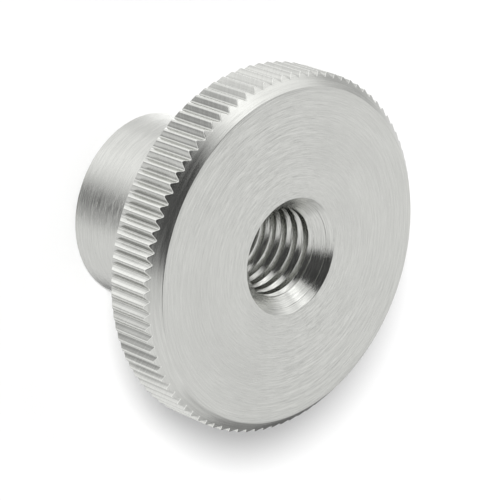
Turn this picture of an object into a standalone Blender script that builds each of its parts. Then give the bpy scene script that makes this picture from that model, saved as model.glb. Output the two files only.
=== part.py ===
"""Knurled thumb nut, the high kind, turned in one piece from stainless bar.

A flat disc with a straight knurl on its rim stands on a round boss, and one
bore runs through both. The bar is knurled first and turned afterwards, so the
grooves run out on the disc's two chamfers. The bore has the thread's minor
diameter, with a countersink at each mouth. The thread itself is not cut here.

The nut stands on its boss end, with the bore's axis on +Z and the origin in
the middle of that end. All lengths are in metres.
"""

import math

import bmesh
import bpy

# Disc, the head that fingers turn
DISC_DIAMETER = 0.030
DISC_THICKNESS = 0.0058
DISC_CHAMFER = 0.00105

# Boss, the collar that presses on the work
BOSS_DIAMETER = 0.0157
BOSS_LENGTH = 0.012
BOSS_CHAMFER = 0.0005
NECK_FILLET = 0.0004

# Bore for an M8 coarse thread
BORE_DIAMETER = 0.00665
COUNTERSINK_DIAMETER = 0.0098

# Straight knurl on the disc's rim
KNURL_PITCH = 0.001
KNURL_DEPTH = 0.00035
KNURL_CREST = 0.0001
KNURL_ROOT = 0.00012

# The bar stands this far proud of the disc before it is knurled and turned
TURNING_STOCK = 0.0003

FILLET_SEGMENTS = 3
SHARP_EDGE_ANGLE = math.radians(25)
MERGE_DISTANCE = 1e-6

PART_NAME = "thumb_nut"
STEEL_COLOR = (0.63, 0.63, 0.61, 1.0)
STEEL_ROUGHNESS = 0.28


def clear_scene():
    for obj in list(bpy.data.objects):
        bpy.data.objects.remove(obj, do_unlink=True)


def new_collection(name):
    collection = bpy.data.collections.new(name)
    bpy.context.scene.collection.children.link(collection)
    return collection


def turned_steel():
    """Bright stainless steel as it leaves the lathe."""
    material = bpy.data.materials.new("turned_steel")
    material.use_nodes = True
    shader = material.node_tree.nodes["Principled BSDF"]
    shader.inputs["Base Color"].default_value = STEEL_COLOR
    shader.inputs["Metallic"].default_value = 1.0
    shader.inputs["Roughness"].default_value = STEEL_ROUGHNESS
    material.diffuse_color = STEEL_COLOR
    return material


def knurl_teeth():
    """As many whole teeth as the pitch gives round the rim."""
    return round(math.pi * DISC_DIAMETER / KNURL_PITCH)


def neck_fillet_points(boss_radius):
    """Quarter arc from the disc's back face in to the boss."""
    centre_radius = boss_radius + NECK_FILLET
    centre_height = BOSS_LENGTH - NECK_FILLET
    points = []
    for step in range(FILLET_SEGMENTS + 1):
        turn = math.pi / 2 * (1 + step / FILLET_SEGMENTS)
        points.append((
            centre_radius + NECK_FILLET * math.cos(turn),
            centre_height + NECK_FILLET * math.sin(turn),
        ))
    return points


def turned_section():
    """Half section of the nut as (radius, height), down its outer side and back up the bore.

    The rim is left proud by the turning stock. Both chamfer cones reach out to
    it, so they are whole where the knurled bar then trims them.
    """
    nut_height = BOSS_LENGTH + DISC_THICKNESS
    disc_radius = DISC_DIAMETER / 2
    face_radius = disc_radius - DISC_CHAMFER
    stock_radius = disc_radius + TURNING_STOCK
    stock_chamfer = DISC_CHAMFER + TURNING_STOCK
    boss_radius = BOSS_DIAMETER / 2
    bore_radius = BORE_DIAMETER / 2
    mouth_radius = COUNTERSINK_DIAMETER / 2
    mouth_depth = mouth_radius - bore_radius

    disc = [
        (mouth_radius, nut_height),
        (face_radius, nut_height),
        (stock_radius, nut_height - stock_chamfer),
        (stock_radius, BOSS_LENGTH + stock_chamfer),
        (face_radius, BOSS_LENGTH),
    ]
    boss = [
        (boss_radius, BOSS_CHAMFER),
        (boss_radius - BOSS_CHAMFER, 0.0),
        (mouth_radius, 0.0),
    ]
    bore = [
        (bore_radius, mouth_depth),
        (bore_radius, nut_height - mouth_depth),
    ]
    return disc + neck_fillet_points(boss_radius) + boss + bore


def turned_blank(collection):
    """The closed half section, swept round +Z by a Screw modifier with one step a tooth."""
    mesh = bpy.data.meshes.new(PART_NAME)
    bm = bmesh.new()
    corners = [bm.verts.new((radius, 0.0, height)) for radius, height in turned_section()]
    for corner, following in zip(corners, corners[1:] + corners[:1]):
        bm.edges.new((corner, following))
    bm.to_mesh(mesh)
    bm.free()

    blank = bpy.data.objects.new(PART_NAME, mesh)
    collection.objects.link(blank)
    lathe = blank.modifiers.new("lathe", "SCREW")
    lathe.axis = "Z"
    lathe.angle = 2 * math.pi
    lathe.screw_offset = 0.0
    lathe.steps = lathe.render_steps = knurl_teeth()
    lathe.use_merge_vertices = True
    lathe.merge_threshold = MERGE_DISTANCE
    return blank


def knurl_outline():
    """Corners of the knurled bar's section: groove root, flank, ridge crest, flank, round the rim.

    The first groove lies a quarter pitch off +X, which puts the lathe's own
    edges halfway up the flanks.
    """
    teeth = knurl_teeth()
    pitch_angle = 2 * math.pi / teeth
    crest_radius = DISC_DIAMETER / 2
    root_radius = crest_radius - KNURL_DEPTH
    half_crest = KNURL_CREST / crest_radius / 2
    half_root = KNURL_ROOT / root_radius / 2
    corners = []
    for tooth in range(teeth):
        groove = (tooth + 1 / 4) * pitch_angle
        ridge = groove + pitch_angle / 2
        for radius, angle in (
            (root_radius, groove - half_root),
            (root_radius, groove + half_root),
            (crest_radius, ridge - half_crest),
            (crest_radius, ridge + half_crest),
        ):
            corners.append((radius * math.cos(angle), radius * math.sin(angle)))
    return corners


def knurled_bar(collection):
    """A length of knurled bar, longer than the nut by the turning stock at each end."""
    mesh = bpy.data.meshes.new("knurled_bar")
    bm = bmesh.new()
    end = bm.faces.new([bm.verts.new((x, y, -TURNING_STOCK)) for x, y in knurl_outline()])
    length = BOSS_LENGTH + DISC_THICKNESS + 2 * TURNING_STOCK
    swept = bmesh.ops.extrude_face_region(bm, geom=[end])["geom"]
    raised = [item for item in swept if isinstance(item, bmesh.types.BMVert)]
    bmesh.ops.translate(bm, verts=raised, vec=(0.0, 0.0, length))
    bmesh.ops.recalc_face_normals(bm, faces=bm.faces)
    bm.to_mesh(mesh)
    bm.free()

    bar = bpy.data.objects.new("knurled_bar", mesh)
    collection.objects.link(bar)
    bar.hide_render = True
    bar.display_type = "WIRE"
    return bar


def knurl(blank, bar):
    """Keeps what the turned blank and the knurled bar have in common."""
    trim = blank.modifiers.new("knurl", "BOOLEAN")
    trim.operation = "INTERSECT"
    trim.solver = "EXACT"
    trim.object = bar


def finish(part, material):
    """Fixes the modelled shape as a mesh, smooth round the turned faces and sharp at their corners."""
    graph = bpy.context.evaluated_depsgraph_get()
    mesh = bpy.data.meshes.new_from_object(part.evaluated_get(graph))
    section = part.data
    part.modifiers.clear()
    part.data = mesh
    bpy.data.meshes.remove(section)
    mesh.name = PART_NAME
    mesh.materials.clear()
    mesh.materials.append(material)
    mesh.shade_smooth()
    mesh.set_sharp_from_angle(angle=SHARP_EDGE_ANGLE)


def main():
    clear_scene()
    parts = new_collection("knurled_thumb_nut")
    cutters = new_collection("knurled_thumb_nut_cutters")
    nut = turned_blank(parts)
    knurl(nut, knurled_bar(cutters))
    finish(nut, turned_steel())


main()
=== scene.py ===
"""Looks for a knurled thumb nut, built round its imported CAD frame.

The nut is made as its maker makes it. A rim is knurled, a core is turned, a tap cuts the
thread, and the two are joined on the flat faces between them. The steel carries the marks
of the lathe. It mirrors a sky of soft patches, and a soft lamp lays the nut's shadow on a
pale floor. All lengths are in metres.
"""

import math
import random

import bmesh
import bpy
from mathutils import Matrix, Vector


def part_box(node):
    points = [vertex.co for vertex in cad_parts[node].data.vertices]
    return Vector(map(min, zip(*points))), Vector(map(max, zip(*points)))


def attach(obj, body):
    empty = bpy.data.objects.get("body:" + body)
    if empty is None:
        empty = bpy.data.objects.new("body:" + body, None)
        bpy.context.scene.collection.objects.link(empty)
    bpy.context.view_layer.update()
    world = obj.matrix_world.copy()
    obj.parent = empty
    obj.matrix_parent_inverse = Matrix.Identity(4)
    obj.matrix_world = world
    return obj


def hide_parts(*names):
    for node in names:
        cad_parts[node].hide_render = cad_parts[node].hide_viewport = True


bl_info = {
    "name": "Knurled thumb nut",
    "version": (1, 0, 0),
    "blender": (4, 5, 0),
    "location": "View3D > Sidebar > Thumb nut",
    "description": "Turns, knurls and taps a thumb nut, and lights it in a pale studio",
    "category": "Object",
}

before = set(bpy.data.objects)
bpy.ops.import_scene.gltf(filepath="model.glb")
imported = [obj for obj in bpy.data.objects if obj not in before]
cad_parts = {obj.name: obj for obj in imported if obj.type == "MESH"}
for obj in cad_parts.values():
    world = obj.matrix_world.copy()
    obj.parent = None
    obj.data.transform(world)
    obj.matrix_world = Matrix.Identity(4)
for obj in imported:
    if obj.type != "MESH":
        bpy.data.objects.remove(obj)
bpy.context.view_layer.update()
CAD_NODE = "thumb_nut"
LOWEST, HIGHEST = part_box(CAD_NODE)

PIECE_NAME = "turned_nut"

# Material slots of the nut's mesh, and one for the walls that only close a solid while it is cut. The
# knurl's two slots are copies of one steel: one with painted shade, and one painted lighter, as lit
# from its side.
TURNED, SHADED_FLANK, LIT_FLANK, TAPPED, WASTE = range(5)

MERGE_DISTANCE = 2e-7
SHARP_EDGE_ANGLE = math.radians(38)
NORMAL_WEIGHT = 50

# Steps across an eased corner, with one more where it bends further than this
EASE_STEPS = 3
WIDE_BEND = math.radians(60)

# Steps round the core, the equal parts that it is swept in, and steps in a turn of the thread
CORE_STEPS = 256
CORE_PARTS = 16
THREAD_STEPS = 96

# Places of a tooth's columns from its groove's middle, in pitches. They crowd where the form bends.
TOOTH_COLUMNS = (
    -0.5, -0.46, -0.42, -0.38, -0.34, -0.23, -0.12, -0.08, -0.04,
    0.0, 0.04, 0.08, 0.12, 0.23, 0.34, 0.38, 0.42, 0.46,
)
# Pitches from +X to the middle of the first groove, as in the solid
FIRST_GROOVE = 0.25
KNURL_SEED = 94

# Widths of the flat faces' rings that are made with the rim and with the core
RIM_FLAT = 0.0006
CORE_FLAT = 0.0004
# Points this close outside the flat faces' edge belong to the faces, not to the teeth
TEETH_MARGIN = 0.0002
# A face of the rim is turned, not rolled, if its normal leans this far along the axis
TURNED_LEAN = 0.5

# Half the angle between the thread's flanks
FLANK_ANGLE = math.radians(30)
# Width of the flat at the thread's root, in pitches, and the share of it that stays flat
ROOT_FLAT = 1 / 8
ROOT_CROWN = 1 / 3
# Depth of the rounding at the root's corners
ROOT_ROUNDING = 0.00008
# Depth of the bevel along the crests, as a share of its width
BEVEL_DEPTH = 0.6
# How far the tap reaches inside the crests, and how fast it widens there
TAP_REACH = 0.0003
TAP_FLARE = 1.7
# Pitches that the tap starts below the boss end, and the turns that it makes beyond the nut's height
TAP_LEAD = 1.5
TAP_SPARE_TURNS = 3

# Distance from the axis under which a direction round it means nothing
AXIS_GUARD = 0.0001
# How fast the marks follow one another up the axis, against the same way outwards
UPWARD_MARKS = 1.7
# Fine marks against the coarse ones, along the surface and round the axis
FINE_ALONG = 3.1
FINE_AROUND = 2.3
# How fast the gloss changes slowly, to the metre along the surface, and round the axis
DRIFT_ALONG = 260.0
DRIFT_AROUND = 1.3
# Range of the noise that the marks are made of, and the coarse marks' share of their height
NOISE_RANGE = (0.3, 0.7)
COARSE_SHARE = 0.62
# Heights between which the tint gives way to the shade, from the top of the marks down
SHADE_RANGE = (0.75, 0.25)
# How far the roughness follows the marks and the slow changes
ROUGHNESS_SWING = 0.05
ROUGHNESS_DRIFT = 0.03

# The marks on each finish: width, how closely they follow round the axis, stretch of the highlights,
# relief, and how much of the shade their bottoms take
FACE_MARKS = {"width": 0.00015, "around": 3.0, "stretch": 0.7, "relief": 1e-5, "shading": 0.5}
KNURL_MARKS = {"width": 0.00016, "around": 3.0, "stretch": 0.0, "relief": 3e-6, "shading": 0.4}
THREAD_MARKS = {"width": 0.00018, "around": 2.0, "stretch": 0.4, "relief": 8e-6, "shading": 0.75}

# Painted light and shade on the knurl's steel, from a ridge's crest, 0, to a groove's root, 1: a
# painted highlight on the crest and painted shade down the flanks towards the root
# The flanks with painted shade, facing away from the light
SHADED_FLANK_TONES = (
    (0.0, 1.05), (0.05, 0.98), (0.12, 0.85), (0.6, 0.98), (0.76, 0.84), (0.93, 0.78), (0.98, 0.92),
    (1.0, 1.0),
)
# The flanks painted lighter, as lit from their side
LIT_FLANK_TONES = (
    (0.0, 1.15), (0.08, 1.2), (0.35, 1.15), (0.5, 1.07), (0.62, 0.88), (0.8, 0.86), (0.9, 0.95),
    (1.0, 1.0),
)
# How light the painted highlight at the front end of a groove is, and the band inside the chamfer where
# it ends
PAINTED_EDGE_HIGHLIGHT = 1.3
PAINTED_HIGHLIGHT_BAND = (0.00005, 0.00011)

# Level of the sky above and below, and the heights between which the one becomes the other
SKY_ABOVE = 0.856
SKY_BELOW = 0.8
SKY_HORIZON = (-0.3, 0.1)
# Soft bright and dark patches of the sky: azimuth, elevation, inner and outer angle in degrees, and
# level. Each is laid over the ones before it.
SKY_PATCHES = (
    (63, 22, 8, 24, 0.4),
    (121, 57, 6, 20, 0.48),
    (-89, 90, 20, 30, 0.064),
    (-94, 47, 30, 33, 0.058),
    (-89, 46, 3, 12, 0.1),
    (-165, 32, 6, 16, 1.56),
    (167, 22, 6, 17, 1.12),
    (-40, 41, 4, 16, 0.736),
    (35, 14, 4, 18, 0.624),
    (71, -22, 9, 24, 0.135),
    (134, -2, 10, 26, 0.528),
    (50, -5, 6, 19, 0.256),
    (65, -44, 5, 16, 0.25),
    (92, 43, 4, 12, 0.92),
    (80, 30, 2, 12, 0.46),
    (106, 54, 2, 12, 0.5),
    (-139, -44, 15, 29, 1.12),
    (-149, -44, 4, 15, 0.91),
    (-70, -44, 7, 22, 0.416),
    (-28, -44, 8, 24, 0.832),
    (131, -44, 6, 16, 1.4),
    (105, -46, 4, 14, 1.36),
)
WHITE = (1.0, 1.0, 1.0, 1.0)
BLACK = (0.0, 0.0, 0.0, 1.0)

# The floor lies this far under the boss end
FLOOR_DROP = 0.00002
FLOOR_ROUGHNESS = 0.9

# The graded card, a glowing sheet that only the boss mirrors, whose dark band paints the reflection of
# shade
# beside the boss: height, width, gap under the boss end, azimuth in degrees, and its brightness across
# its width
CARD_HEIGHT = 0.0108
CARD_WIDTH = 0.0134
CARD_GAP = 0.0003
CARD_AZIMUTH = -78.5
CARD_LEVELS = ((0.0, 0.9), (0.15, 0.8), (0.53, 0.16), (0.68, 0.34), (1.0, 0.5))

CLIP_START, CLIP_END = 0.01, 10.0


# Settings


def length(name, description, default):
    return bpy.props.FloatProperty(
        name=name, description=description, default=default, min=0.0, precision=5, unit="LENGTH"
    )


def turn(name, description, degrees):
    return bpy.props.FloatProperty(
        name=name, description=description, default=math.radians(degrees), subtype="ANGLE"
    )


def share(name, description, default):
    return bpy.props.FloatProperty(
        name=name, description=description, default=default, min=0.0, max=1.0, subtype="FACTOR"
    )


def colour(name, description, default):
    return bpy.props.FloatVectorProperty(
        name=name, description=description, default=default, size=4, min=0.0, max=1.0,
        subtype="COLOR",
    )


class ThumbNutSizes(bpy.types.PropertyGroup):
    """Sizes of the turned blank"""

    disc_diameter: length("Disc diameter", "Across the knurl's crests", HIGHEST.x - LOWEST.x)
    disc_thickness: length("Disc thickness", "From the back face to the open face", 0.0058)
    disc_chamfer: length("Disc chamfer", "Run of the cone at both edges of the rim", 0.00105)
    boss_diameter: length("Boss diameter", "Across the collar behind the disc", 0.0157)
    height: length("Height", "From the boss end to the open face", HIGHEST.z - LOWEST.z)
    boss_chamfer: length("Boss chamfer", "Run of the cone at the boss end", 0.0005)
    neck_fillet: length("Neck fillet", "Radius where the boss meets the disc", 0.0004)
    countersink: length("Countersink", "Diameter of the cone at each mouth of the bore", 0.0098)
    tool_ring: length("Tool ring", "Diameter of the step left in each countersink", 0.0089)
    tool_step: length("Tool step", "Width of that step", 0.00004)
    edge_break: length("Edge break", "Radius that the turned edges are eased to", 0.00008)
    rim_break: length("Rim break", "Radius between the disc's flat faces and its chamfers", 0.00014)


class ThumbNutKnurl(bpy.types.PropertyGroup):
    """Form of the straight knurl"""

    teeth: bpy.props.IntProperty(
        name="Teeth", description="Grooves round the rim", default=94, min=12
    )
    depth: length("Depth", "From crest to root", 0.00035)
    crest: length("Crest", "Width of the flat left on a ridge", 0.00016)
    root: length("Root", "Width of the flat at the bottom of a groove", 0.00012)
    crest_ease: length("Crest ease", "Half width of the curve from crest to flank", 0.00008)
    root_ease: length("Root ease", "Half width of the curve from root to flank", 0.00006)
    end_break: length("End break", "Radius at the ends of the grooves", 0.0001)
    hold: length("Hold", "Run of the chamfers that keeps its slope at the ends", 0.0001)
    wander: share("Wander", "How unequal the grooves are, as a share of the depth", 0.05)


class ThumbNutThread(bpy.types.PropertyGroup):
    """Form of the tapped thread"""

    pitch: length("Pitch", "From one turn to the next", 0.00125)
    major_diameter: length("Major diameter", "Across the roots of the nut's thread", 0.00812)
    minor_diameter: length("Minor diameter", "Across the crests of the nut's thread", 0.0073)
    edge_break: length("Edge break", "Width of the bevel along the crests", 0.00005)
    start: turn("Start", "Where round the bore the thread begins", 252.0)


class ThumbNutSteel(bpy.types.PropertyGroup):
    """Finish of the steel"""

    tint: colour("Steel", "Colour of the bare steel", (0.757, 0.762, 0.733, 1.0))
    shade: colour("Marks", "Colour in the bottom of the tool marks", (0.568, 0.571, 0.549, 1.0))
    roughness: share("Roughness", "Of the turned faces", 0.21)
    knurl_roughness: share("Knurl roughness", "Of the rolled grooves", 0.19)
    thread_roughness: share("Thread roughness", "Of the tapped thread", 0.13)


class ThumbNutStudio(bpy.types.PropertyGroup):
    """Floor, light and camera"""

    floor_size: length("Floor", "Side of the square floor", 2.0)
    floor_colour: colour("Floor colour", "Colour of the pale floor", (0.8, 0.8, 0.8, 1.0))
    floor_lift: share("Floor lift", "How much the floor is lifted towards white", 0.03)
    lamp: bpy.props.FloatProperty(
        name="Lamp", description="Strength of the soft lamp on the floor", default=3.8, min=0.0
    )
    lamp_azimuth: turn("Lamp azimuth", "Which side the lamp stands on", -99.4)
    lamp_elevation: turn("Lamp elevation", "How high the lamp stands, as an angle", 38.8)
    lamp_softness: turn("Lamp softness", "How wide the lamp is as the floor sees it", 10.0)
    eye: bpy.props.FloatVectorProperty(
        name="Eye", description="Where the camera stands", size=3, subtype="TRANSLATION",
        unit="LENGTH", default=(0.0030486, -0.1760708, 0.173139),
    )
    aim: bpy.props.FloatVectorProperty(
        name="Aim", description="What the camera looks at", size=3, subtype="TRANSLATION",
        unit="LENGTH", default=(0.0006865, -0.0048768, 0.0178),
    )
    roll: turn("Roll", "How far the camera is turned about its own axis", 110.404)
    lens: bpy.props.FloatProperty(
        name="Lens", description="Focal length for a 36 mm sensor", default=211.367,
        unit="CAMERA",
    )


# Sections


def eased(corners):
    """The points of a section whose corners are given as (radius, height, radius of the ease)."""
    points = []
    for index, (radius, height, ease) in enumerate(corners):
        here = Vector((radius, height))
        if ease <= 0.0 or index in (0, len(corners) - 1):
            points.append((here.x, here.y))
            continue
        back = (Vector(corners[index - 1][:2]) - here).normalized()
        ahead = (Vector(corners[index + 1][:2]) - here).normalized()
        opening = back.angle(ahead)
        swing = math.pi - opening
        reach = ease / math.tan(opening / 2)
        middle = here + (back + ahead).normalized() * ease / math.sin(opening / 2)
        start, end = here + back * reach - middle, here + ahead * reach - middle
        steps = EASE_STEPS + 1 if swing > WIDE_BEND else EASE_STEPS
        for step in range(steps + 1):
            part = swing * step / steps
            spoke = (start * math.sin(swing - part) + end * math.sin(part)) / math.sin(swing)
            points.append((middle.x + spoke.x, middle.y + spoke.y))
    return points


def swept(points, closed, turning, steps, rise=0.0):
    """A bmesh of the section swept round +Z through part of a turn, or up a helix."""
    bm = bmesh.new()
    verts = [bm.verts.new((radius, 0.0, height)) for radius, height in points]
    edges = [bm.edges.new(pair) for pair in zip(verts, verts[1:])]
    if closed:
        edges.append(bm.edges.new((verts[-1], verts[0])))
    bmesh.ops.spin(
        bm, geom=verts + edges, cent=(0, 0, 0), axis=(0, 0, 1), dvec=(0, 0, rise / steps),
        angle=turning, steps=steps, use_merge=False, use_duplicate=False,
    )
    return bm


def repeated(bm, count, turning, rise=0.0):
    """The same piece of surface set end to end, each copy turned and raised from the one before."""
    mesh = bpy.data.meshes.new("repeat")
    bm.to_mesh(mesh)
    for copy in range(1, count):
        first = len(bm.verts)
        bm.from_mesh(mesh)
        bm.verts.ensure_lookup_table()
        added = bm.verts[first:]
        bmesh.ops.rotate(
            bm, verts=added, cent=(0, 0, 0), matrix=Matrix.Rotation(copy * turning, 3, "Z")
        )
        if rise:
            bmesh.ops.translate(bm, verts=added, vec=(0, 0, copy * rise))
    bpy.data.meshes.remove(mesh)
    bmesh.ops.remove_doubles(bm, verts=bm.verts, dist=MERGE_DISTANCE)
    return bm


# The nut


def groove_height(knurl, half_pitch, along):
    """Height of the knurl's surface above its root, this far from the groove's middle."""
    foot, top = knurl.root / 2, half_pitch - knurl.crest / 2
    slope = knurl.depth / (top - foot)
    if along < foot + knurl.root_ease:
        over = max(0.0, along - foot + knurl.root_ease)
        return slope * over * over / (4 * knurl.root_ease)
    if along > top - knurl.crest_ease:
        short = max(0.0, top + knurl.crest_ease - along)
        return knurl.depth - slope * short * short / (4 * knurl.crest_ease)
    return slope * (along - foot)


def knurled_rim(sizes, knurl):
    """The disc's rim between its two flat faces, spun with columns that fit the teeth, then pressed."""
    radius, height = sizes.disc_diameter / 2, sizes.height
    back = height - sizes.disc_thickness
    inner = radius - sizes.disc_chamfer
    third = (sizes.disc_thickness - 2 * sizes.disc_chamfer) / 3
    front_kink, back_kink = height - sizes.disc_chamfer, back + sizes.disc_chamfer
    section = eased([
        (inner - RIM_FLAT, height, 0.0),
        (inner, height, sizes.rim_break),
        (radius - knurl.hold, front_kink + knurl.hold, 0.0),
        (radius, front_kink, knurl.end_break),
        (radius, front_kink - third, 0.0),
        (radius, back_kink + third, 0.0),
        (radius, back_kink, knurl.end_break),
        (radius - knurl.hold, back_kink - knurl.hold, 0.0),
        (inner, back, sizes.rim_break),
        (inner - RIM_FLAT, back, 0.0),
    ])
    columns = len(TOOTH_COLUMNS)
    steps = knurl.teeth * columns
    tooth_turn = 2 * math.pi / knurl.teeth
    pitch = tooth_turn * radius
    bm = repeated(swept(section, False, tooth_turn, columns), knurl.teeth, tooth_turn)

    dice = random.Random(KNURL_SEED)
    depths = [1 + knurl.wander * (dice.random() - 0.5) for _ in range(knurl.teeth)]
    toothed = inner + TEETH_MARGIN
    for vert in bm.verts:
        column = round(math.atan2(vert.co.y, vert.co.x) / (2 * math.pi) * steps) % steps
        tooth, place = divmod(column, columns)
        offset = TOOTH_COLUMNS[place]
        angle = (tooth + FIRST_GROOVE + offset) * tooth_turn
        out = math.hypot(vert.co.x, vert.co.y)
        level = vert.co.z
        if out > toothed:
            sink = knurl.depth - groove_height(knurl, pitch / 2, abs(offset) * pitch)
            sink *= depths[tooth]
            out -= sink
            # The ends of the grooves lie on the chamfers' cones
            if level > front_kink - third / 2:
                level += sink
            elif level < back_kink + third / 2:
                level -= sink
        vert.co = (out * math.cos(angle), out * math.sin(angle), level)

    bmesh.ops.recalc_face_normals(bm, faces=bm.faces)
    for face in bm.faces:
        centre = face.calc_center_median()
        place = math.atan2(centre.y, centre.x) / tooth_turn - FIRST_GROOVE
        if math.hypot(centre.x, centre.y) < toothed or abs(face.normal.z) > TURNED_LEAN:
            face.material_index = TURNED
        else:
            # One flank of each groove takes the copy painted lighter, as painted light from the side
            # that the light falls on
            face.material_index = LIT_FLANK if place % 1.0 < 0.5 else SHADED_FLANK
    return bm


def turned_core(sizes, thread):
    """Boss, bore and countersinks as a closed solid. A waste cone closes it where the rim goes on."""
    height, boss = sizes.height, sizes.boss_diameter / 2
    back = height - sizes.disc_thickness
    mouth, bore = sizes.countersink / 2, thread.minor_diameter / 2
    ring = sizes.tool_ring / 2
    ring_depth, bore_depth = mouth - ring, mouth - bore
    ease, step = sizes.edge_break, sizes.tool_step
    section = eased([
        (mouth + CORE_FLAT, height, 0.0),
        (mouth, height, ease),
        (ring, height - ring_depth, 0.0),
        (ring, height - ring_depth - step, 0.0),
        (bore, height - bore_depth - step, ease),
        (bore, bore_depth + step, ease),
        (ring, ring_depth + step, 0.0),
        (ring, ring_depth, 0.0),
        (mouth, 0.0, ease),
        (boss - sizes.boss_chamfer, 0.0, ease),
        (boss, sizes.boss_chamfer, ease),
        (boss, back, sizes.neck_fillet),
        (boss + 2 * sizes.neck_fillet, back, 0.0),
    ])
    part = 2 * math.pi / CORE_PARTS
    bm = repeated(swept(section, True, part, CORE_STEPS // CORE_PARTS), CORE_PARTS, part)
    bmesh.ops.recalc_face_normals(bm, faces=bm.faces)
    for face in bm.faces:
        centre = face.calc_center_median()
        out = math.hypot(centre.x, centre.y)
        if out < mouth:
            face.material_index = TAPPED
        elif out > mouth + CORE_FLAT and centre.z > back + ease:
            face.material_index = WASTE
        else:
            face.material_index = TURNED
    return bm


def tap(sizes, thread):
    """The solid that a tap sweeps: one groove's section wound up the bore, past both mouths."""
    root, crest = thread.major_diameter / 2, thread.minor_diameter / 2
    pitch, bevel = thread.pitch, thread.edge_break
    half_flat = pitch * ROOT_FLAT / 2
    slope = math.tan(FLANK_ANGLE)
    opening = half_flat + (root - crest) * slope
    half = [
        (crest - TAP_REACH, opening + bevel + TAP_REACH * TAP_FLARE),
        (crest + bevel * BEVEL_DEPTH, opening - bevel * BEVEL_DEPTH * slope),
        (root - ROOT_ROUNDING, half_flat + ROOT_ROUNDING * slope),
        (root, half_flat * ROOT_CROWN),
    ]
    whole = half + [(radius, -level) for radius, level in reversed(half)]
    section = [(radius, level - TAP_LEAD * pitch) for radius, level in whole]
    turns = math.ceil(sizes.height / pitch) + TAP_SPARE_TURNS
    bm = repeated(swept(section, True, 2 * math.pi, THREAD_STEPS, pitch), turns, 0.0, pitch)
    ends = [edge for edge in bm.edges if edge.is_boundary]
    bmesh.ops.holes_fill(bm, edges=ends, sides=0)
    bmesh.ops.rotate(
        bm, verts=bm.verts, cent=(0, 0, 0), matrix=Matrix.Rotation(thread.start, 3, "Z")
    )
    bmesh.ops.recalc_face_normals(bm, faces=bm.faces)
    for face in bm.faces:
        face.material_index = TAPPED
    return bm


def object_of(bm, name):
    """A new object in the scene with the bmesh as its mesh. The bmesh is freed."""
    mesh = bpy.data.meshes.new(name)
    bm.to_mesh(mesh)
    bm.free()
    made = bpy.data.objects.new(name, mesh)
    bpy.context.scene.collection.objects.link(made)
    return made


def tapped_core(sizes, thread):
    """The core with the thread cut, without its waste faces, as a bmesh."""
    core = object_of(turned_core(sizes, thread), "core_blank")
    cutter = object_of(tap(sizes, thread), "tap")
    for blank in (core, cutter):
        for _ in range(WASTE + 1):
            blank.data.materials.append(None)
    cut = core.modifiers.new("tap", "BOOLEAN")
    cut.operation = "DIFFERENCE"
    cut.solver = "EXACT"
    cut.object = cutter
    graph = bpy.context.evaluated_depsgraph_get()
    bm = bmesh.new()
    bm.from_object(core, graph)
    for blank in (core, cutter):
        mesh = blank.data
        bpy.data.objects.remove(blank)
        bpy.data.meshes.remove(mesh)
    waste = [face for face in bm.faces if face.material_index == WASTE]
    bmesh.ops.delete(bm, geom=waste, context="FACES")
    return bm


def joined(rim, core):
    """Rim and core in one bmesh, bridged across the open face and the back face."""
    mesh = bpy.data.meshes.new("rim")
    rim.to_mesh(mesh)
    rim.free()
    core.from_mesh(mesh)
    bpy.data.meshes.remove(mesh)
    open_edges = [edge for edge in core.edges if edge.is_boundary]
    split = sum(edge.verts[0].co.z for edge in open_edges) / len(open_edges)
    for front in (True, False):
        ring = [edge for edge in open_edges if (edge.verts[0].co.z > split) == front]
        made = bmesh.ops.bridge_loops(core, edges=ring)["faces"]
        for face in made:
            face.material_index = TURNED
    bmesh.ops.recalc_face_normals(core, faces=core.faces)
    return core


# Materials


def feed(tree, socket, value):
    """Links the socket to the value where that is a socket too, or else sets it."""
    if isinstance(value, bpy.types.NodeSocket):
        tree.links.new(value, socket)
    else:
        socket.default_value = value


def math_node(tree, operation, *values, clamp=False):
    node = tree.nodes.new("ShaderNodeMath")
    node.operation = operation
    node.use_clamp = clamp
    for socket, value in zip(node.inputs, values):
        feed(tree, socket, value)
    return node.outputs[0]


def vector_math(tree, operation, *values):
    node = tree.nodes.new("ShaderNodeVectorMath")
    node.operation = operation
    for socket, value in zip(node.inputs, values):
        feed(tree, socket, value)
    return node.outputs


def combine(tree, x, y, z):
    node = tree.nodes.new("ShaderNodeCombineXYZ")
    for socket, value in zip(node.inputs, (x, y, z)):
        feed(tree, socket, value)
    return node.outputs[0]


def separate(tree, vector):
    node = tree.nodes.new("ShaderNodeSeparateXYZ")
    feed(tree, node.inputs[0], vector)
    return node.outputs


def mixed(tree, kind, factor, first, second):
    """The first value, or the first colour with the kind RGBA, giving way to the second."""
    node = tree.nodes.new("ShaderNodeMix")
    node.data_type = kind
    for name, value in (("Factor", factor), ("A", first), ("B", second)):
        feed(tree, node.inputs[name], value)
    return node.outputs["Result"]


def ranged(tree, value, low, high, start, end, kind="LINEAR"):
    """The value's way from start to end stretched to run from low to high, and held there."""
    node = tree.nodes.new("ShaderNodeMapRange")
    node.interpolation_type = kind
    feed(tree, node.inputs["Value"], value)
    feed(tree, node.inputs["From Min"], start)
    feed(tree, node.inputs["From Max"], end)
    feed(tree, node.inputs["To Min"], low)
    feed(tree, node.inputs["To Max"], high)
    return node.outputs["Result"]


def curved(tree, value, points):
    """The value carried along straight lines between the points, whose heights may be up to 2."""
    node = tree.nodes.new("ShaderNodeFloatCurve")
    curve = node.mapping.curves[0]
    for point, (place, height) in zip(curve.points, (points[0], points[-1])):
        point.location = place, height / 2
    for place, height in points[1:-1]:
        curve.points.new(place, height / 2)
    for point in curve.points:
        point.handle_type = "VECTOR"
    node.mapping.update()
    feed(tree, node.inputs["Value"], value)
    return math_node(tree, "MULTIPLY", node.outputs[0], 2.0)


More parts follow.
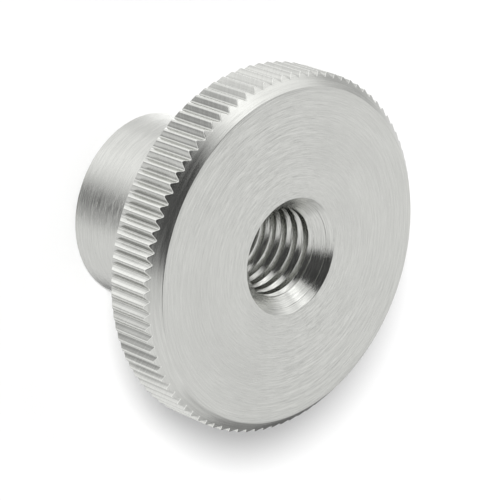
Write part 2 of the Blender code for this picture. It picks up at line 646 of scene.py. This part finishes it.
def new_group(name, takes, gives):
    """A shader group that takes the named kinds of socket and gives numbers, with its two ends."""
    tree = bpy.data.node_groups.new(name, "ShaderNodeTree")
    for socket, kind in takes.items():
        tree.interface.new_socket(socket, in_out="INPUT", socket_type="NodeSocket" + kind)
    for socket in gives:
        tree.interface.new_socket(socket, in_out="OUTPUT", socket_type="NodeSocketFloat")
    source = tree.nodes.new("NodeGroupInput")
    result = tree.nodes.new("NodeGroupOutput")
    return tree, source.outputs, result.inputs


def placed(tree, group, **values):
    """The group's outputs once it is placed in a tree and its inputs are fed."""
    node = tree.nodes.new("ShaderNodeGroup")
    node.node_tree = group
    for name, value in values.items():
        feed(tree, node.inputs[name], value)
    return node.outputs


def from_axis(tree, place):
    """X, Y and Z of a place, and its distance from the bore's axis."""
    x, y, z = separate(tree, place)
    return x, y, z, vector_math(tree, "LENGTH", combine(tree, x, y, 0.0))["Value"]


def streaks(tree, along, cosine, sine, around, detail, roughness=0.5):
    """Noise that runs round the axis in streaks."""
    node = tree.nodes.new("ShaderNodeTexNoise")
    feed(tree, node.inputs["Scale"], 1.0)
    feed(tree, node.inputs["Detail"], detail)
    feed(tree, node.inputs["Roughness"], roughness)
    x = math_node(tree, "MULTIPLY", cosine, around)
    y = math_node(tree, "MULTIPLY", sine, around)
    feed(tree, node.inputs["Vector"], combine(tree, along, x, y))
    return node.outputs[0]


def lathe_marks_group():
    """Masks of concentric tool marks from a place on the part, in metres."""
    takes = {"Place": "Vector", "Width": "Float", "Around": "Float"}
    tree, given, result = new_group("lathe marks", takes, ("Marks", "Fine", "Drift"))
    x, y, z, out = from_axis(tree, given["Place"])
    safe = math_node(tree, "MAXIMUM", out, AXIS_GUARD)
    cosine = math_node(tree, "DIVIDE", x, safe)
    sine = math_node(tree, "DIVIDE", y, safe)
    # One number that grows along every turned surface, cones included
    travel = math_node(tree, "MULTIPLY_ADD", z, UPWARD_MARKS, out)
    steps = math_node(tree, "DIVIDE", travel, given["Width"])
    fine_steps = math_node(tree, "MULTIPLY", steps, FINE_ALONG)
    fine_around = math_node(tree, "MULTIPLY", given["Around"], FINE_AROUND)
    slow = math_node(tree, "MULTIPLY", travel, DRIFT_ALONG)
    feed(tree, result["Marks"], streaks(tree, steps, cosine, sine, given["Around"], 2.0, 0.6))
    feed(tree, result["Fine"], streaks(tree, fine_steps, cosine, sine, fine_around, 1.0))
    feed(tree, result["Drift"], streaks(tree, slow, cosine, sine, DRIFT_AROUND, 2.0))
    return tree


def groove_depth_group():
    """How far a place on the knurl is sunk, as a share of the knurl's depth, and how far it lies
    inside the front chamfer's cone, in metres."""
    takes = {"Place": "Vector", "Crest": "Float", "Depth": "Float", "Cone": "Float"}
    tree, given, result = new_group("groove depth", takes, ("Sunk", "Inside"))
    _, _, z, out = from_axis(tree, given["Place"])
    below = math_node(tree, "SUBTRACT", given["Crest"], out)
    feed(tree, result["Sunk"], math_node(tree, "DIVIDE", below, given["Depth"], clamp=True))
    reach = math_node(tree, "ADD", out, z)
    feed(tree, result["Inside"], math_node(tree, "SUBTRACT", given["Cone"], reach))
    return tree


def new_material(name):
    """A material, its node tree and its Principled BSDF."""
    material = bpy.data.materials.new(name)
    material.use_nodes = True
    tree = material.node_tree
    return material, tree, tree.nodes["Principled BSDF"]


def steel(name, finish, group, roughness, width, around, stretch, relief, shading):
    """Bare steel whose tint, gloss and relief all follow the marks that the tool left."""
    material, tree, shader = new_material(name)
    shader.inputs["Metallic"].default_value = 1.0
    shader.inputs["Anisotropic"].default_value = stretch
    place = tree.nodes.new("ShaderNodeTexCoord").outputs["Object"]
    marks = placed(tree, group, Place=place, Width=width, Around=around)

    coarse = ranged(tree, marks["Marks"], 0.0, COARSE_SHARE, *NOISE_RANGE)
    fine = ranged(tree, marks["Fine"], 0.0, 1.0 - COARSE_SHARE, *NOISE_RANGE)
    height = math_node(tree, "ADD", coarse, fine)
    bottom = ranged(tree, height, 0.0, shading, *SHADE_RANGE)
    feed(tree, shader.inputs["Base Color"], mixed(tree, "RGBA", bottom, finish.tint, finish.shade))

    least, most = roughness - ROUGHNESS_SWING, roughness + ROUGHNESS_SWING
    swing = ranged(tree, marks["Marks"], least, most, *NOISE_RANGE)
    drift = ranged(tree, marks["Drift"], -ROUGHNESS_DRIFT, ROUGHNESS_DRIFT, *NOISE_RANGE)
    feed(tree, shader.inputs["Roughness"], math_node(tree, "ADD", swing, drift))

    bump = tree.nodes.new("ShaderNodeBump")
    bump.inputs["Strength"].default_value = 1.0
    bump.inputs["Distance"].default_value = relief
    feed(tree, bump.inputs["Height"], height)
    feed(tree, shader.inputs["Normal"], bump.outputs["Normal"])
    if stretch:
        tangent = tree.nodes.new("ShaderNodeTangent")
        tangent.direction_type = "RADIAL"
        tangent.axis = "Z"
        feed(tree, shader.inputs["Tangent"], tangent.outputs[0])
    return material


def painted_groove_light(material, group, sizes, knurl, painted_tones):
    """The steel with a groove's painted light and shade laid over its tint, and a painted highlight at
    its end.
    """
    tree = material.node_tree
    shader = tree.nodes["Principled BSDF"]
    radius = sizes.disc_diameter / 2
    groove = placed(
        tree, group,
        Place=tree.nodes.new("ShaderNodeTexCoord").outputs["Object"],
        Crest=radius,
        Depth=knurl.depth,
        Cone=radius + sizes.height - sizes.disc_chamfer,
    )
    # A painted highlight along the front end of each groove
    edge = ranged(tree, groove["Inside"], PAINTED_EDGE_HIGHLIGHT, 0.0, *PAINTED_HIGHLIGHT_BAND)
    # The groove's painted light and shade, or the painted highlight at its end where that is lighter
    painted_light = math_node(tree, "MAXIMUM", curved(tree, groove["Sunk"], painted_tones), edge)
    bare = shader.inputs["Base Color"].links[0].from_socket
    scaled = tree.nodes.new("ShaderNodeVectorMath")
    scaled.operation = "SCALE"
    feed(tree, scaled.inputs[0], bare)
    feed(tree, scaled.inputs["Scale"], painted_light)
    feed(tree, shader.inputs["Base Color"], scaled.outputs[0])
    return material


def steel_finishes(finish, sizes, knurl):
    """The nut's materials, in the order of its slots."""
    marks = lathe_marks_group()
    depth = groove_depth_group()
    grooves = [
        painted_groove_light(
            steel(name, finish, marks, finish.knurl_roughness, **KNURL_MARKS),
            depth, sizes, knurl, painted_tones,
        )
        for name, painted_tones in (
            ("shaded_flank_knurl_steel", SHADED_FLANK_TONES), ("lit_flank_knurl_steel", LIT_FLANK_TONES),
        )
    ]
    return [
        steel("turned_face_steel", finish, marks, finish.roughness, **FACE_MARKS),
        *grooves,
        steel("tapped_thread_steel", finish, marks, finish.thread_roughness, **THREAD_MARKS),
    ]


# Studio


def toward(azimuth, elevation):
    """The direction of a place in the sky, whose angles are in radians."""
    return Vector((
        math.cos(azimuth) * math.cos(elevation),
        math.sin(azimuth) * math.cos(elevation),
        math.sin(elevation),
    ))


def sky_patch_group():
    """A round patch of the sky with a soft edge, 1 inside and 0 outside."""
    takes = {"Direction": "Vector", "Middle": "Vector", "Inner": "Float", "Outer": "Float"}
    tree, given, result = new_group("sky patch", takes, ("Patch",))
    nearness = vector_math(tree, "DOT_PRODUCT", given["Direction"], given["Middle"])["Value"]
    angle = math_node(tree, "ARCCOSINE", math_node(tree, "MINIMUM", nearness, 1.0))
    fall = ranged(tree, angle, 1.0, 0.0, given["Inner"], given["Outer"], "SMOOTHSTEP")
    feed(tree, result["Patch"], fall)
    return tree


def studio_sky():
    """A sky of soft patches for the steel to mirror. The camera sees it white."""
    world = bpy.data.worlds.new("studio sky")
    bpy.context.scene.world = world
    world.use_nodes = True
    tree = world.node_tree
    tree.nodes.clear()
    direction = tree.nodes.new("ShaderNodeTexCoord").outputs["Generated"]
    group = sky_patch_group()
    height = separate(tree, direction)["Z"]
    level = ranged(tree, height, SKY_BELOW, SKY_ABOVE, *SKY_HORIZON)
    for azimuth, elevation, inner, outer, strength in SKY_PATCHES:
        patch = placed(
            tree, group,
            Direction=direction,
            Middle=toward(math.radians(azimuth), math.radians(elevation)),
            Inner=math.radians(inner),
            Outer=math.radians(outer),
        )
        level = mixed(tree, "FLOAT", patch["Patch"], level, strength)
    ray = tree.nodes.new("ShaderNodeLightPath")
    background = tree.nodes.new("ShaderNodeBackground")
    background.inputs["Color"].default_value = WHITE
    seen = mixed(tree, "FLOAT", ray.outputs["Is Camera Ray"], level, 1.0)
    feed(tree, background.inputs["Strength"], seen)
    output = tree.nodes.new("ShaderNodeOutputWorld")
    feed(tree, output.inputs["Surface"], background.outputs[0])


def pale_floor(studio):
    """A floor that shows its shadow on white. It is clear from below and to the steel's mirror."""
    bm = bmesh.new()
    bmesh.ops.create_grid(bm, x_segments=1, y_segments=1, size=studio.floor_size / 2)
    bmesh.ops.translate(bm, verts=bm.verts, vec=(0, 0, -FLOOR_DROP))
    floor = object_of(bm, "floor")
    material, tree, shader = new_material("pale_floor")
    shader.inputs["Base Color"].default_value = studio.floor_colour
    shader.inputs["Roughness"].default_value = FLOOR_ROUGHNESS
    shader.inputs["Specular IOR Level"].default_value = 0.0
    shader.inputs["Emission Color"].default_value = WHITE
    ray = tree.nodes.new("ShaderNodeLightPath").outputs
    side = tree.nodes.new("ShaderNodeNewGeometry").outputs
    lift = math_node(tree, "MULTIPLY", ray["Is Camera Ray"], studio.floor_lift)
    feed(tree, shader.inputs["Emission Strength"], lift)
    passes = math_node(tree, "MAXIMUM", ray["Is Glossy Ray"], side["Backfacing"])
    clear = tree.nodes.new("ShaderNodeBsdfTransparent")
    either = tree.nodes.new("ShaderNodeMixShader")
    for socket, value in zip(either.inputs, (passes, shader.outputs[0], clear.outputs[0])):
        feed(tree, socket, value)
    feed(tree, tree.nodes["Material Output"].inputs["Surface"], either.outputs[0])
    floor.data.materials.append(material)


def soft_lamp(studio):
    """The lamp whose shadow lies on the floor. The steel mirrors the sky's patches in its stead."""
    data = bpy.data.lights.new("soft_lamp", "SUN")
    data.energy = studio.lamp
    data.angle = studio.lamp_softness
    lamp = bpy.data.objects.new("soft_lamp", data)
    direction = toward(studio.lamp_azimuth, studio.lamp_elevation)
    lamp.rotation_euler = direction.to_track_quat("Z", "Y").to_euler()
    lamp.visible_glossy = False
    bpy.context.scene.collection.objects.link(lamp)


def graded_card(sizes):
    """A glowing graded card beside the boss and under the floor, that only the boss mirrors. Its dark
    band gives the boss a painted reflection of shade.
    """
    place = Matrix.Rotation(math.radians(CARD_AZIMUTH), 3, "Z")
    upright = Matrix.Rotation(math.pi / 2, 3, "Y")
    middle = (sizes.disc_diameter / 2, 0.0, -CARD_HEIGHT / 2 - CARD_GAP)
    bm = bmesh.new()
    bmesh.ops.create_grid(bm, x_segments=1, y_segments=1, size=0.5)
    bmesh.ops.scale(bm, verts=bm.verts, vec=(CARD_HEIGHT, CARD_WIDTH, 1.0))
    bmesh.ops.rotate(bm, verts=bm.verts, cent=(0, 0, 0), matrix=upright)
    bmesh.ops.translate(bm, verts=bm.verts, vec=middle)
    bmesh.ops.rotate(bm, verts=bm.verts, cent=(0, 0, 0), matrix=place)
    card = object_of(bm, "graded_card")
    material, tree, shader = new_material("graded_card_glow")
    shader.inputs["Base Color"].default_value = BLACK
    shader.inputs["Specular IOR Level"].default_value = 0.0
    shader.inputs["Emission Color"].default_value = WHITE
    where = tree.nodes.new("ShaderNodeTexCoord").outputs["Object"]
    sideways = place @ Vector((0.0, 1.0, 0.0))
    across = vector_math(tree, "DOT_PRODUCT", where, sideways)["Value"]
    part = ranged(tree, across, 0.0, 1.0, -CARD_WIDTH / 2, CARD_WIDTH / 2)
    feed(tree, shader.inputs["Emission Strength"], curved(tree, part, CARD_LEVELS))
    card.data.materials.append(material)
    card.visible_camera = card.visible_diffuse = card.visible_shadow = False


def studio_camera(studio):
    data = bpy.data.cameras.new("camera")
    data.lens = studio.lens
    data.clip_start, data.clip_end = CLIP_START, CLIP_END
    camera = bpy.data.objects.new("camera", data)
    bpy.context.scene.collection.objects.link(camera)
    eye, aim = Vector(studio.eye), Vector(studio.aim)
    look = (aim - eye).to_track_quat("-Z", "Y").to_matrix()
    place = look @ Matrix.Rotation(studio.roll, 3, "Z")
    camera.matrix_world = Matrix.Translation(eye) @ place.to_4x4()
    bpy.context.scene.camera = camera


# Operators


class THUMBNUT_OT_nut(bpy.types.Operator):
    """Turn, knurl and tap the nut, and give it its steel"""

    bl_idname = "thumbnut.nut"
    bl_label = "Make the nut"

    def execute(self, context):
        scene = context.scene
        rim = knurled_rim(scene.nut_sizes, scene.nut_knurl)
        core = tapped_core(scene.nut_sizes, scene.nut_thread)
        nut = object_of(joined(rim, core), PIECE_NAME)
        for material in steel_finishes(scene.nut_steel, scene.nut_sizes, scene.nut_knurl):
            nut.data.materials.append(material)
        nut.data.shade_smooth()
        nut.data.set_sharp_from_angle(angle=SHARP_EDGE_ANGLE)
        weight = nut.modifiers.new("weighted normals", "WEIGHTED_NORMAL")
        weight.mode = "FACE_AREA"
        weight.weight = NORMAL_WEIGHT
        weight.keep_sharp = True
        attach(nut, "root")
        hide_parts(CAD_NODE)
        return {"FINISHED"}


class THUMBNUT_OT_studio(bpy.types.Operator):
    """Lay the floor, light the nut and set up the camera"""

    bl_idname = "thumbnut.studio"
    bl_label = "Make the studio"

    def execute(self, context):
        studio = context.scene.nut_studio
        pale_floor(studio)
        graded_card(context.scene.nut_sizes)
        studio_sky()
        soft_lamp(studio)
        studio_camera(studio)
        context.scene.view_settings.view_transform = "Standard"
        return {"FINISHED"}


class THUMBNUT_PT_panel(bpy.types.Panel):
    """The steps that make the nut and its studio"""

    bl_label = "Thumb nut"
    bl_idname = "THUMBNUT_PT_panel"
    bl_space_type = "VIEW_3D"
    bl_region_type = "UI"
    bl_category = "Thumb nut"

    def draw(self, context):
        layout = self.layout
        for operator in OPERATORS:
            layout.operator(operator.bl_idname)
        for settings, _ in SETTINGS:
            group = getattr(context.scene, settings)
            box = layout.box()
            for name in group.bl_rna.properties.keys():
                if name not in ("rna_type", "name"):
                    box.prop(group, name)


OPERATORS = (THUMBNUT_OT_studio, THUMBNUT_OT_nut)
SETTINGS = (
    ("nut_sizes", ThumbNutSizes),
    ("nut_knurl", ThumbNutKnurl),
    ("nut_thread", ThumbNutThread),
    ("nut_steel", ThumbNutSteel),
    ("nut_studio", ThumbNutStudio),
)


def register():
    for name, group in SETTINGS:
        bpy.utils.register_class(group)
        setattr(bpy.types.Scene, name, bpy.props.PointerProperty(type=group))
    for operator in OPERATORS:
        bpy.utils.register_class(operator)
    bpy.utils.register_class(THUMBNUT_PT_panel)


def unregister():
    bpy.utils.unregister_class(THUMBNUT_PT_panel)
    for operator in reversed(OPERATORS):
        bpy.utils.unregister_class(operator)
    for name, group in reversed(SETTINGS):
        delattr(bpy.types.Scene, name)
        bpy.utils.unregister_class(group)


def main():
    register()
    bpy.ops.thumbnut.studio()
    bpy.ops.thumbnut.nut()


if __name__ == "__main__":
    main()
